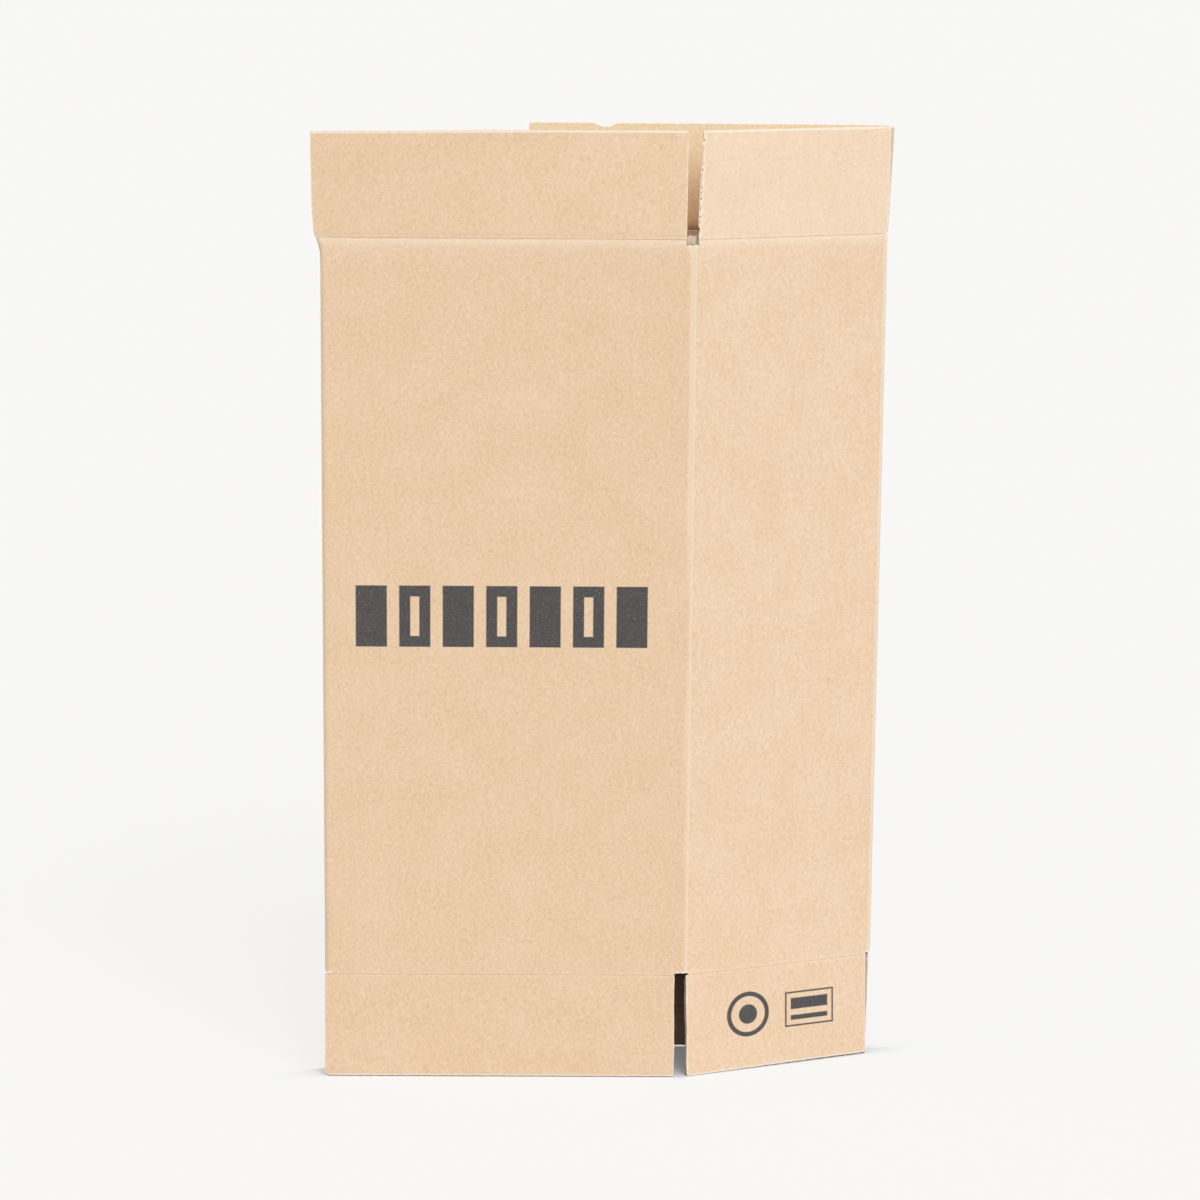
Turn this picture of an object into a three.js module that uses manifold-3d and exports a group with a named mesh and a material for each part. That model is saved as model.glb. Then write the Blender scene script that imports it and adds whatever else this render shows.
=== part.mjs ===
// Tall corrugated shipping box for two bottles, set up but not squared or closed.
// One slotted sheet is folded into a tube, glued along one corner, and carries four flaps
// at the top and four at the bottom. The tube is racked: seen from above it is a lean
// parallelogram. Millimetres, +X along the front panel, +Y to the back, +Z up.

import * as THREE from 'three';
import { mergeVertices } from 'three/addons/utils/BufferGeometryUtils.js';
import Module from 'manifold-3d';

const wasm = await Module();
wasm.setup();

// Board
const BOARD = 3.0;
const LINER = 0.35;
const FLUTE_PITCH = 6.4;
const FLUTE_FLAT = 1.2;
const FLUTE_END = 8.0;

// Box
const LENGTH = 183;
const WIDTH = 103.5;
const HEIGHT = 380;
const FLAP = 54;
const RACK_DEG = 21.6;

// Creases
const CREASE_GAP = 0.3;
const CREASE_LAND = 0.6;
const CREASE_CRUSH = 2.4;
const FOLD_BEAD = 1.2;
const FOLD_SINK = 0.02;
const SEAM_LAP = 0.05;

// Slots between the flaps, measured from the inner corner of each fold
const SLOT_BEFORE_OPEN = 4.2;
const SLOT_AFTER_OPEN = 1.0;
const SLOT_BEFORE_TIGHT = 1.0;
const SLOT_REACH_TIGHT = 3.0;
const REAR_FLARE = 2.6;
const MITRE_REACH = 1.6;
const NOTCH_START = 0.6;
const SLOT_DEPTH_TOP = 3.0;
const SLOT_DEPTH_BOTTOM = 1.0;
const FOOT_BEFORE_OPEN = 5.5;
const FOOT_REACH_OPEN = 0.5;
const FOOT_REACH_TIGHT = 2.0;

// Glued corner
const TAB_WIDTH = 34;
const TAB_INSET = 4;
const TAB_TAPER = 10;
const EAR_REACH = 5.5;
const EAR_HEIGHT = 6.5;
const FRONT_FLAP_REACH = 6.6;
const FRONT_FOOT_REACH = 3.5;
const FRONT_FOOT_ROUND = 2.5;
const LEFT_FLAP_SHORT = 4;

// How far each flap leans outward as the box stands, at the two ends of its crease
const LEAN_TOP = { front: [10.5, 5.5], right: [5, 5], rear: [5, 5], left: [28, 28] };
const LEAN_FOOT = { front: [3.8, 3.8], right: [2.9, 2.9], rear: [7.5, 7.5], left: [3, 3] };
const TWIST_STEPS = 24;

// Shallow dent in the free edge of the rear top flap
const DENT_WIDTH = 11;
const DENT_DEPTH = 2;
const DENT_FROM_END = 38;

const rad = Math.PI / 180;
const half = CREASE_GAP / 2;

function toSolid(geometry) {
  const g = geometry.clone();
  g.deleteAttribute('normal');
  g.deleteAttribute('uv');
  const merged = mergeVertices(g, 1e-5);
  const vertProperties = new Float32Array(merged.attributes.position.array);
  const triVerts = new Uint32Array(merged.index.array);
  return new wasm.Manifold(new wasm.Mesh({ numProp: 3, vertProperties, triVerts }));
}

function toGeometry(solid) {
  const mesh = solid.getMesh();
  const g = new THREE.BufferGeometry();
  g.setAttribute('position', new THREE.BufferAttribute(new Float32Array(mesh.vertProperties), 3));
  g.setIndex(new THREE.BufferAttribute(new Uint32Array(mesh.triVerts), 1));
  return g;
}

// Closed outline of [x, y] pairs pushed along z.
function prism(points, from, to) {
  const shape = new THREE.Shape(points.map((p) => new THREE.Vector2(p[0], p[1])));
  const g = new THREE.ExtrudeGeometry(shape, { depth: to - from, bevelEnabled: false });
  g.translate(0, 0, from);
  return g;
}

// Outline in (out, rise), pushed along the panel from u0 to u1. In a panel's own axes
// x runs along the panel, y is the rise and z is the way out through the board.
function wedge(points, u0, u1, steps = 1) {
  const shape = new THREE.Shape(points.map((p) => new THREE.Vector2(-p[0], p[1])));
  const g = new THREE.ExtrudeGeometry(shape, { depth: u1 - u0, bevelEnabled: false, steps });
  g.rotateY(Math.PI / 2);
  g.translate(u0, 0, 0);
  return g;
}

// Plan of the tube: inner corners of the four folds. The left panel lies outside the glue
// tab, so it runs a little out of parallel with the right panel.
const open = RACK_DEG * rad;
const skew = open - Math.asin(BOARD / WIDTH);
const corner = {
  frontLeft: new THREE.Vector2(0, 0),
  frontRight: new THREE.Vector2(LENGTH, 0),
  rearRight: new THREE.Vector2(LENGTH + WIDTH * Math.cos(open), WIDTH * Math.sin(open)),
  rearLeft: new THREE.Vector2(WIDTH * Math.cos(open), WIDTH * Math.sin(open)),
};
const leftLength = Math.sqrt(WIDTH * WIDTH - BOARD * BOARD);

// Every panel: where its inner face starts, the way it runs seen from outside, its length.
const panels = {
  front: { start: corner.frontLeft, angle: 0, length: LENGTH },
  right: { start: corner.frontRight, angle: open, length: WIDTH },
  rear: { start: corner.rearRight, angle: Math.PI, length: LENGTH },
  left: { start: corner.rearLeft, angle: Math.PI + skew, length: leftLength },
};

// Places a body drawn in panel axes. Down turns it over for the flaps below the tube.
function place(geometry, panel, z, down) {
  const along = new THREE.Vector3(Math.cos(panel.angle), Math.sin(panel.angle), 0);
  const out = new THREE.Vector3(Math.sin(panel.angle), -Math.cos(panel.angle), 0);
  const rise = new THREE.Vector3(0, 0, 1);
  if (down) {
    along.negate();
    rise.negate();
  }
  const m = new THREE.Matrix4().makeBasis(along, rise, out);
  m.setPosition(panel.start.x, panel.start.y, z);
  const g = geometry.clone();
  g.applyMatrix4(m);
  return g;
}

// Crushed inner side of a crease at rise 0: the board is pressed thin from the inside.
function crushCut(u0, u1, side, steps = 1) {
  const deep = BOARD - CREASE_LAND;
  const past = side * CREASE_CRUSH * (1 + BOARD / deep);
  const under = -side * BOARD;
  return wedge([[deep, 0], [deep, under], [-BOARD, under], [-BOARD, past]], u0, u1, steps);
}

// Part of a round fold in plan, from the face of one panel to the face of the next.
function foldPlan(at, angleIn, angleOut) {
  const points = [];
  const from = angleIn - Math.PI / 2 - 3 * rad;
  const to = angleOut - Math.PI / 2 + 3 * rad;
  const steps = Math.max(5, Math.ceil((to - from) / (12 * rad)));
  for (let i = 0; i <= steps; i += 1) {
    const t = from + ((to - from) * i) / steps;
    points.push([at.x + BOARD * Math.cos(t), at.y + BOARD * Math.sin(t)]);
  }
  points.push([
    at.x + FOLD_BEAD * Math.cos(angleOut) + FOLD_SINK * Math.sin(angleOut),
    at.y + FOLD_BEAD * Math.sin(angleOut) - FOLD_SINK * Math.cos(angleOut),
  ]);
  points.push([
    at.x - FOLD_BEAD * Math.cos(angleIn) + FOLD_SINK * Math.sin(angleIn),
    at.y - FOLD_BEAD * Math.sin(angleIn) - FOLD_SINK * Math.cos(angleIn),
  ]);
  return points;
}

const base = FLAP;
const top = FLAP + HEIGHT;

// One wall of the tube, notched where the slots run past the creases.
function wall(panel, ends) {
  const h0 = half;
  const h1 = HEIGHT - half;
  const L = panel.length;
  const t = SLOT_DEPTH_TOP;
  const b = SLOT_DEPTH_BOTTOM;
  const outline = [
    [ends.footStart, h0],
    [L - ends.footEnd, h0],
    [L - ends.footEnd, b],
    [L, b],
    [L, HEIGHT - t],
    [L - ends.topEnd, HEIGHT - t],
    [L - ends.topEnd, h1],
  ];
  if (ends.ear) {
    outline.push([-EAR_REACH, h1]);
    outline.push([-BOARD, HEIGHT - EAR_HEIGHT]);
    outline.push([0, HEIGHT - EAR_HEIGHT - BOARD]);
  } else {
    outline.push([ends.topStart, h1]);
    outline.push([ends.topStart, HEIGHT - t]);
    outline.push([0, HEIGHT - t]);
  }
  outline.push([0, b]);
  outline.push([ends.footStart, b]);
  let solid = toSolid(place(prism(outline, 0, BOARD), panel, base, false));
  const low = crushCut(-TAB_WIDTH, L + TAB_WIDTH, 1);
  low.translate(0, half, 0);
  const high = crushCut(-TAB_WIDTH, L + TAB_WIDTH, -1);
  high.translate(0, HEIGHT - half, 0);
  solid = solid.subtract(toSolid(place(low, panel, base, false)));
  solid = solid.subtract(toSolid(place(high, panel, base, false)));
  return solid;
}

function buildSleeve() {
  const parts = [];
  parts.push(wall(panels.front, {
    ear: true,
    topEnd: SLOT_BEFORE_OPEN,
    footStart: NOTCH_START,
    footEnd: FOOT_BEFORE_OPEN,
  }));
  parts.push(wall(panels.right, {
    topStart: SLOT_AFTER_OPEN,
    topEnd: -MITRE_REACH,
    footStart: NOTCH_START,
    footEnd: SLOT_BEFORE_TIGHT,
  }));
  parts.push(wall(panels.rear, {
    topStart: NOTCH_START,
    topEnd: SLOT_BEFORE_OPEN,
    footStart: NOTCH_START,
    footEnd: FOOT_BEFORE_OPEN,
  }));
  parts.push(wall({ ...panels.left, length: leftLength - NOTCH_START }, {
    topStart: SLOT_AFTER_OPEN,
    topEnd: SLOT_BEFORE_TIGHT,
    footStart: NOTCH_START,
    footEnd: SLOT_BEFORE_TIGHT,
  }));
  const z0 = base + SLOT_DEPTH_BOTTOM;
  const z1 = top - SLOT_DEPTH_TOP;
  const folds = [
    foldPlan(corner.frontRight, 0, open),
    foldPlan(corner.rearRight, open, Math.PI),
    foldPlan(corner.rearLeft, Math.PI, Math.PI + skew),
  ];
  folds.forEach((plan) => parts.push(toSolid(prism(plan, z0, z1))));
  const joint = foldPlan(corner.frontLeft, Math.PI + skew, 2 * Math.PI);
  parts.push(toSolid(prism(joint, base + TAB_INSET, top - TAB_INSET)));
  const tab = [
    [0, TAB_INSET],
    [0, HEIGHT - TAB_INSET],
    [-TAB_WIDTH, HEIGHT - TAB_INSET - TAB_TAPER],
    [-TAB_WIDTH, TAB_INSET + TAB_TAPER],
  ];
  const tabPanel = { start: corner.frontLeft, angle: Math.PI + skew };
  parts.push(toSolid(place(prism(tab, 0, BOARD + SEAM_LAP), tabPanel, base, false)));
  return parts.reduce((all, one) => all.add(one));
}

// Hollow flutes: blind channels that open at the free edge of a flap and end before the
// crease, where the board is pressed flat. Two per pitch, one under each liner.
function fluteChannels(u0, u1, edge) {
  const near = (FLUTE_PITCH - FLUTE_FLAT) / 2 - LINER;
  const far = FLUTE_FLAT / 2;
  const count = Math.floor((u1 - u0 - 2 * (near + LINER)) / (FLUTE_PITCH / 2)) + 1;
  const first = (u0 + u1) / 2 - ((count - 1) * FLUTE_PITCH) / 4;
  const cuts = [];
  for (let i = 0; i < count; i += 1) {
    const c = first + (i * FLUTE_PITCH) / 2;
    const outer = i % 2 === 0;
    const wide = outer ? BOARD - LINER : LINER;
    const slim = outer ? 2 * LINER : BOARD - 2 * LINER;
    const section = [[c - near, -wide], [c + near, -wide], [c + far, -slim], [c - far, -slim]];
    const g = prism(outer ? section : section.reverse(), FLUTE_END, edge + BOARD);
    g.rotateX(-Math.PI / 2);
    cuts.push(g);
  }
  return cuts;
}

// Leans a body drawn upright in panel axes about the outer liner at the crease. The lean
// goes evenly from lean[0] at the start of the panel to lean[1] at its end.
function leanOut(geometry, lean, length) {
  const p = geometry.attributes.position;
  for (let i = 0; i < p.count; i += 1) {
    const a = (lean[0] + ((lean[1] - lean[0]) * p.getX(i)) / length) * rad;
    const h = p.getY(i);
    const n = p.getZ(i) - BOARD;
    p.setY(i, h * Math.cos(a) - n * Math.sin(a));
    p.setZ(i, BOARD + n * Math.cos(a) + h * Math.sin(a));
  }
  return geometry;
}

// A cut through the whole board along an outline in (u, rise).
function throughCut(points) {
  return prism(points, -BOARD, 2 * BOARD);
}

// One flap: a rectangular blank from u0 to u1 and from its crease at rise 0 to its free
// edge, crushed at the crease, fluted between its two margins, trimmed, and leaned outward.
function buildFlap(panel, z, down, lean, blank, trims) {
  const steps = lean[0] === lean[1] ? 1 : TWIST_STEPS;
  const lay = (g) => toSolid(leanOut(g, lean, panel.length));
  const section = [[0, half], [0, blank.edge], [BOARD, blank.edge], [BOARD, half]];
  let solid = lay(wedge(section, blank.u0, blank.u1, steps));
  const crush = crushCut(blank.u0 - BOARD, blank.u1 + BOARD, 1, steps);
  crush.translate(0, half, 0);
  solid = solid.subtract(lay(crush));
  const [marginStart, marginEnd] = blank.margins;
  const channels = fluteChannels(blank.u0 + marginStart, blank.u1 - marginEnd, blank.edge);
  channels.concat(trims).forEach((cut) => {
    solid = solid.subtract(lay(cut));
  });
  return place(toGeometry(solid), panel, z, down);
}

function plainBlank(u0, u1, edge, margins = [0, 0]) {
  return { u0, u1, edge, margins };
}

// Flaps under the tube are turned over, so they are drawn from the far end of the panel.
function footBlank(u0, u1, edge, margins = [0, 0]) {
  return plainBlank(-u1, -u0, edge, margins);
}

// Length from the crease that lets a leaning lower flap just reach the floor.
function footEdge(lean) {
  return (FLAP - BOARD * Math.sin(lean * rad)) / Math.cos(lean * rad);
}

const board = { color: 0xc99b68, roughness: 0.9, metalness: 0 };

function node(name, geometry) {
  const g = geometry.index ? geometry.toNonIndexed() : geometry.clone();
  g.computeVertexNormals();
  const material = new THREE.MeshStandardMaterial({ ...board, name: 'brown_board' });
  const mesh = new THREE.Mesh(g, material);
  mesh.name = name;
  return mesh;
}

const nodes = [];
nodes.push(node('sleeve', toGeometry(buildSleeve())));

// Front top flap: it stands proud of the glued corner and narrows a little to its crease.
const proud = FRONT_FLAP_REACH - EAR_REACH;
const frontTop = plainBlank(
  -FRONT_FLAP_REACH, LENGTH - SLOT_BEFORE_OPEN, FLAP, [proud, 0]);
const frontTaper = throughCut([
  [-FRONT_FLAP_REACH - BOARD, -BOARD],
  [-EAR_REACH, -BOARD],
  [-EAR_REACH, half],
  [-EAR_REACH - proud * 0.55, FLAP * 0.15],
  [-FRONT_FLAP_REACH, FLAP * 0.37],
  [-FRONT_FLAP_REACH - BOARD, FLAP * 0.37],
]);

// Right top flap: its end is mitred, so that its outer liner reaches round the tight fold.
const mitreStart = WIDTH - SLOT_BEFORE_TIGHT;
const mitreSlope = (MITRE_REACH + SLOT_BEFORE_TIGHT) / BOARD;
const rightTop = plainBlank(SLOT_AFTER_OPEN, WIDTH + MITRE_REACH, FLAP,
  [0, MITRE_REACH + SLOT_BEFORE_TIGHT]);
const mitre = prism([
  [mitreStart - mitreSlope * BOARD, BOARD],
  [mitreStart + mitreSlope * 2 * BOARD, -2 * BOARD],
  [mitreStart + mitreSlope * 3 * BOARD, -2 * BOARD],
  [mitreStart + mitreSlope * 3 * BOARD, BOARD],
], -BOARD, FLAP + BOARD);
mitre.rotateX(-Math.PI / 2);

// Rear top flap: it flares past the tight fold and has a dent in its free edge.
const flareEnd = -SLOT_REACH_TIGHT - REAR_FLARE;
const rearTop = plainBlank(flareEnd, LENGTH - SLOT_BEFORE_OPEN, FLAP, [REAR_FLARE, 0]);
const rearFlare = throughCut([
  [flareEnd - BOARD, -BOARD],
  [-SLOT_REACH_TIGHT, -BOARD],
  [-SLOT_REACH_TIGHT, 0],
  [flareEnd, FLAP],
  [flareEnd - BOARD, FLAP],
]);
const dentAt = LENGTH - SLOT_BEFORE_OPEN - DENT_FROM_END;
const dentHalf = DENT_WIDTH / 2;
const dent = throughCut([
  [dentAt - dentHalf, FLAP + BOARD],
  [dentAt - dentHalf, FLAP],
  [dentAt - dentHalf * 0.45, FLAP - DENT_DEPTH * 0.75],
  [dentAt + dentHalf * 0.1, FLAP - DENT_DEPTH],
  [dentAt + dentHalf * 0.6, FLAP - DENT_DEPTH * 0.55],
  [dentAt + dentHalf, FLAP],
  [dentAt + dentHalf, FLAP + BOARD],
]);
const leftTop = plainBlank(SLOT_AFTER_OPEN, leftLength - LEFT_FLAP_SHORT, FLAP);

nodes.push(node('top_front_flap',
  buildFlap(panels.front, top, false, LEAN_TOP.front, frontTop, [frontTaper])));
nodes.push(node('top_right_flap',
  buildFlap(panels.right, top, false, LEAN_TOP.right, rightTop, [mitre])));
nodes.push(node('top_rear_flap',
  buildFlap(panels.rear, top, false, LEAN_TOP.rear, rearTop, [rearFlare, dent])));
nodes.push(node('top_left_flap',
  buildFlap(panels.left, top, false, LEAN_TOP.left, leftTop, [])));

// Front lower flap: the corner beside the glued fold is worn round.
const frontFootEdge = footEdge(LEAN_FOOT.front[0]);
const frontFoot = footBlank(
  -FRONT_FOOT_REACH, LENGTH - FOOT_BEFORE_OPEN, frontFootEdge, [0, FRONT_FOOT_ROUND]);
const roundAt = [FRONT_FOOT_REACH - FRONT_FOOT_ROUND, frontFootEdge - FRONT_FOOT_ROUND];
const worn = [[FRONT_FOOT_REACH + BOARD, roundAt[1]], [FRONT_FOOT_REACH + BOARD, frontFootEdge + BOARD]];
worn.push([roundAt[0], frontFootEdge + BOARD]);
for (let i = 6; i >= 0; i -= 1) {
  const t = (i * 15) * rad;
  worn.push([
    roundAt[0] + FRONT_FOOT_ROUND * Math.cos(t),
    roundAt[1] + FRONT_FOOT_ROUND * Math.sin(t),
  ]);
}
const rightFoot = footBlank(
  -FOOT_REACH_OPEN, WIDTH - SLOT_BEFORE_TIGHT, footEdge(LEAN_FOOT.right[0]));
const rearFoot = footBlank(
  -FOOT_REACH_TIGHT, LENGTH - FOOT_BEFORE_OPEN, footEdge(LEAN_FOOT.rear[0]));
const leftFoot = footBlank(
  -FOOT_REACH_OPEN, leftLength - LEFT_FLAP_SHORT, footEdge(LEAN_FOOT.left[0]));

nodes.push(node('bottom_front_flap',
  buildFlap(panels.front, base, true, LEAN_FOOT.front, frontFoot, [throughCut(worn)])));
nodes.push(node('bottom_right_flap',
  buildFlap(panels.right, base, true, LEAN_FOOT.right, rightFoot, [])));
nodes.push(node('bottom_rear_flap',
  buildFlap(panels.rear, base, true, LEAN_FOOT.rear, rearFoot, [])));
nodes.push(node('bottom_left_flap',
  buildFlap(panels.left, base, true, LEAN_FOOT.left, leftFoot, [])));

// The origin is the middle of the footprint of everything, on the floor.
const group = new THREE.Group();
group.name = 'two_bottle_shipping_box';
nodes.forEach((n) => group.add(n));
const box = new THREE.Box3().setFromObject(group, true);
nodes.forEach((n) => {
  n.geometry.translate(-(box.min.x + box.max.x) / 2, -(box.min.y + box.max.y) / 2, -box.min.z);
});

export default group;
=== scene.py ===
# %% [markdown]
# # A tall corrugated shipping box
# The box is one sheet of brown corrugated board, slotted, creased, folded into a tube and
# glued along one corner. It stands racked, so its plan is a lean parallelogram. This lesson
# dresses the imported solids: every wall and flap is a surface worked out with numpy, and one
# procedural board material covers them all.

# %% Start
import bpy
import bmesh
import math
import numpy as np
from mathutils import Matrix, Vector


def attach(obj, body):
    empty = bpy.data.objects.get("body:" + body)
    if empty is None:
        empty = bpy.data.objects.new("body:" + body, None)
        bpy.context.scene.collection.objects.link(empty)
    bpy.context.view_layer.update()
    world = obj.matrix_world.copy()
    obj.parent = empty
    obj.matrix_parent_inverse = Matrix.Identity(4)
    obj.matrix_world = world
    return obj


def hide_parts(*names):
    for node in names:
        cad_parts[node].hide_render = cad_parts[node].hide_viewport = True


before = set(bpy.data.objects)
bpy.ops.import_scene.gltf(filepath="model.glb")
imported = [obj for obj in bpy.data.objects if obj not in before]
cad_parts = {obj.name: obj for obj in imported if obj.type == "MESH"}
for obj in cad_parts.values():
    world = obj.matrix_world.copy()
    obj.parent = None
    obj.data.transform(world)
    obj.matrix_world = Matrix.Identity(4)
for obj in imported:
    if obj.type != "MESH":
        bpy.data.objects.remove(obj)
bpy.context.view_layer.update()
MM = 0.001
print("solids loaded:", sorted(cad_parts))

# %% [markdown]
# ## The board's numbers
# The sizes repeat the solids' own: 3 mm board with a flute every 6.4 mm, a front wall of
# 183 mm, a side wall of 103.5 mm, a tube of 380 mm and flaps of 54 mm. Lengths are written
# in millimetres and turned into metres only when a mesh is made, because board is always
# measured so. The shift puts the front left fold where the solids have it.

# %% Numbers
BOARD, LINER, PITCH = 3.0, 0.35, 6.4
LENGTH, WIDTH, HEIGHT, FLAP = 183.0, 103.5, 380.0, 54.0
BASE, TOP = FLAP, FLAP + HEIGHT
OPEN = math.radians(21.6)
SKEW = OPEN - math.asin(BOARD / WIDTH)
LEFT = math.sqrt(WIDTH ** 2 - BOARD ** 2)
SHIFT = np.array([-138.9503, -25.7021])
CORNERS = {
    "front_left": np.array([0.0, 0.0]),
    "front_right": np.array([LENGTH, 0.0]),
    "rear_right": np.array([LENGTH + WIDTH * math.cos(OPEN), WIDTH * math.sin(OPEN)]),
    "rear_left": np.array([WIDTH * math.cos(OPEN), WIDTH * math.sin(OPEN)]),
}
PANELS = {
    "front": (CORNERS["front_left"], 0.0, LENGTH, 0.0),
    "right": (CORNERS["front_right"], OPEN, WIDTH, LENGTH),
    "rear": (CORNERS["rear_right"], math.pi, LENGTH, LENGTH + WIDTH),
    "left": (CORNERS["rear_left"], math.pi + SKEW, LEFT, 2 * LENGTH + WIDTH),
}
print("walls:", {name: round(p[2], 1) for name, p in PANELS.items()})

# %% [markdown]
# ## Paper's small unevenness
# Cut edges of board are never quite straight, and walls are never quite flat. A sum of a few
# sine waves with odd, fixed phases gives both: it looks irregular, is smooth, and is the same
# on every run, which random numbers would need a seed for.

# %% Uneven lines


WAVE_RATIO, PHASE_STEP = 1.7, 12.9898


def wander(x, scale, seed, waves=7):
    """Sum of sines of x: wave k is scale / 1.7**k long, and its phase comes from the seed.

    The sum is divided by the square root of the number of waves, so it stays near +-1.
    """
    total = np.zeros_like(np.asarray(x, dtype=float))
    for k in range(waves):
        phase = PHASE_STEP * (seed + 1) * (k + 1)
        total = total + np.sin(2 * math.pi * np.asarray(x) * WAVE_RATIO ** k / scale + phase)
    return total / math.sqrt(waves)


def bump(x, centre, width):
    """A bell curve: e to the minus square of the distance from the centre over the width."""
    return np.exp(-((np.asarray(x) - centre) / width) ** 2)


print("sample of a cut line, mm:", np.round(0.2 * wander(np.arange(0, 20, 5.0), 6, 1), 2))

# %% [markdown]
# ## From a grid of points to a mesh
# Every surface here is an array of points with rows and columns. The helpers join the
# neighbours into four-sided faces, close the ends, and store four things for the material:
# the place on the flat sheet as a UV map, how much a point belongs to a raw cut edge, how
# much painted highlight it carries at creases and folds, and a painted shade below 1 or
# painted light above 1 that makes it darker or paler.

# %% Mesh from grids


def grid_faces(rows, columns, start):
    """Quads between neighbours of a rows x columns grid, as an array of point numbers.

    Point (r, c) has number start + r * columns + c. The last row joins the first, which
    makes a tube whose ends are the first and the last column.
    """
    r, c = np.meshgrid(np.arange(rows), np.arange(columns - 1), indexing="ij")
    after = (r + 1) % rows
    quads = np.stack([r * columns + c, r * columns + c + 1,
                      after * columns + c + 1, after * columns + c], axis=-1)
    return quads.reshape(-1, 4) + start


def end_caps(rows, columns, start):
    """Quads that close both ends of a tube, between its first and its second half of rows."""
    caps = []
    for column in (0, columns - 1):
        ring = start + np.arange(rows) * columns + column
        near, far = ring[:rows // 2], ring[rows // 2:][::-1]
        caps.append(np.stack([near[:-1], near[1:], far[1:], far[:-1]], axis=-1))
    return caps


def join_grids(grids, shade):
    """Several tubes as one set of arrays, with their places and sheets in metres."""
    kept = {"place": [], "sheet": [], "cut": [], "worn": [], "shade": []}
    quads, caps = [], []
    start = 0
    for grid in grids:
        rows, columns = grid["place"].shape[:2]
        kept["place"].append(grid["place"].reshape(-1, 3) * MM)
        kept["sheet"].append(grid["sheet"].reshape(-1, 2) * MM)
        kept["cut"].append(grid["cut"].reshape(-1))
        kept["worn"].append(grid["worn"].reshape(-1))
        kept["shade"].append((shade * grid["shade"]).reshape(-1))
        quads.append(grid_faces(rows, columns, start))
        caps += end_caps(rows, columns, start)
        start += rows * columns
    joined = {key: np.concatenate(arrays) for key, arrays in kept.items()}
    joined["faces"] = np.concatenate(quads + caps)
    return joined


def face_outwards(mesh):
    """Turns all faces of closed tubes outwards and smooths all but their sharp edges."""
    work = bmesh.new()
    work.from_mesh(mesh)
    bmesh.ops.recalc_face_normals(work, faces=work.faces)
    work.to_mesh(mesh)
    work.free()
    mesh.polygons.foreach_set("use_smooth", np.ones(len(mesh.polygons), dtype=bool))
    mesh.set_sharp_from_angle(angle=math.radians(50))


def make_piece(name, grids, body, node, shade=1.0):
    """Builds one object from tubes of points: grids is a list of dicts of equal-shaped arrays.

    Each dict has place (rows, columns, 3) in mm in the row frame, sheet (rows, columns, 2)
    in mm, and cut, painted highlight and painted shade (rows, columns); a shade above 1 is
    painted light. The piece's own shade multiplies all the shades.
    """
    joined = join_grids(grids, shade)
    mesh = bpy.data.meshes.new(name)
    mesh.from_pydata(joined["place"].tolist(), [], joined["faces"].tolist())
    mesh.update()
    corner_point = np.empty(len(mesh.loops), dtype=np.int32)
    mesh.loops.foreach_get("vertex_index", corner_point)
    uv = mesh.uv_layers.new(name="sheet")
    uv.data.foreach_set("uv", joined["sheet"][corner_point].astype(np.float32).ravel())
    for label in ("cut", "worn", "shade"):
        layer = mesh.attributes.new(label, "FLOAT", "POINT")
        layer.data.foreach_set("value", joined[label].astype(np.float32))
    face_outwards(mesh)
    piece = bpy.data.objects.new(name, mesh)
    bpy.context.scene.collection.objects.link(piece)
    piece.data.materials.append(BOARD_MATERIAL)
    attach(piece, body)
    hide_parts(node)
    print(f"{name}: {len(mesh.polygons)} faces, {len(grids)} closed layers")
    return piece


print("a tube of 4 rows and 3 columns has", len(grid_faces(4, 3, 0)), "side faces")

# %% [markdown]
# ## Brown board
# The liner is recycled brown paper: an even tan with a fine mottle, a few darker and paler
# fibres, and a very dull surface. Noise at several sizes, read in object coordinates, gives
# the mottle, the fibres and the tooth of the paper. Raw edges are paler, because the knife
# opens clean pulp. Pale bands at the creases and folds are painted highlights, and the
# stored shade paints darker insides and recesses and lighter flaps.

# %% Node helpers


def rgb(red, green, blue):
    """An 8-bit screen colour as Blender's linear colour, by the usual screen curve."""
    c = np.array([red, green, blue]) / 255.0
    linear = np.where(c <= 0.04045, c / 12.92, ((c + 0.055) / 1.055) ** 2.4)
    return (*linear.tolist(), 1.0)


def math_node(tree, operation, *values):
    """A Math node with numbers or sockets as its inputs; returns its output."""
    n = tree.nodes.new("ShaderNodeMath")
    n.operation = operation
    for i, value in enumerate(values):
        if isinstance(value, (int, float)):
            n.inputs[i].default_value = value
        else:
            tree.links.new(value, n.inputs[i])
    return n.outputs[0]


def mix_colour(tree, factor, first, second):
    """A colour mix: first where the factor is 0, second where it is 1."""
    n = tree.nodes.new("ShaderNodeMix")
    n.data_type = "RGBA"
    for socket, value in ((n.inputs[0], factor), (n.inputs[6], first), (n.inputs[7], second)):
        if isinstance(value, (int, float, tuple)):
            socket.default_value = value
        else:
            tree.links.new(value, socket)
    return n.outputs[2]


def noise(tree, vector, scale, detail, rough=0.5):
    """A Noise texture's value, between 0 and 1, at the given scale per metre."""
    n = tree.nodes.new("ShaderNodeTexNoise")
    n.inputs["Scale"].default_value = scale
    n.inputs["Detail"].default_value = detail
    n.inputs["Roughness"].default_value = rough
    tree.links.new(vector, n.inputs["Vector"])
    return n.outputs[0]


def ramp(tree, value, low, high):
    """Goes straight from 0 at low to 1 at high, and stays there outside."""
    n = tree.nodes.new("ShaderNodeMapRange")
    n.inputs["From Min"].default_value = low
    n.inputs["From Max"].default_value = high
    tree.links.new(value, n.inputs["Value"])
    return n.outputs[0]


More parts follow.
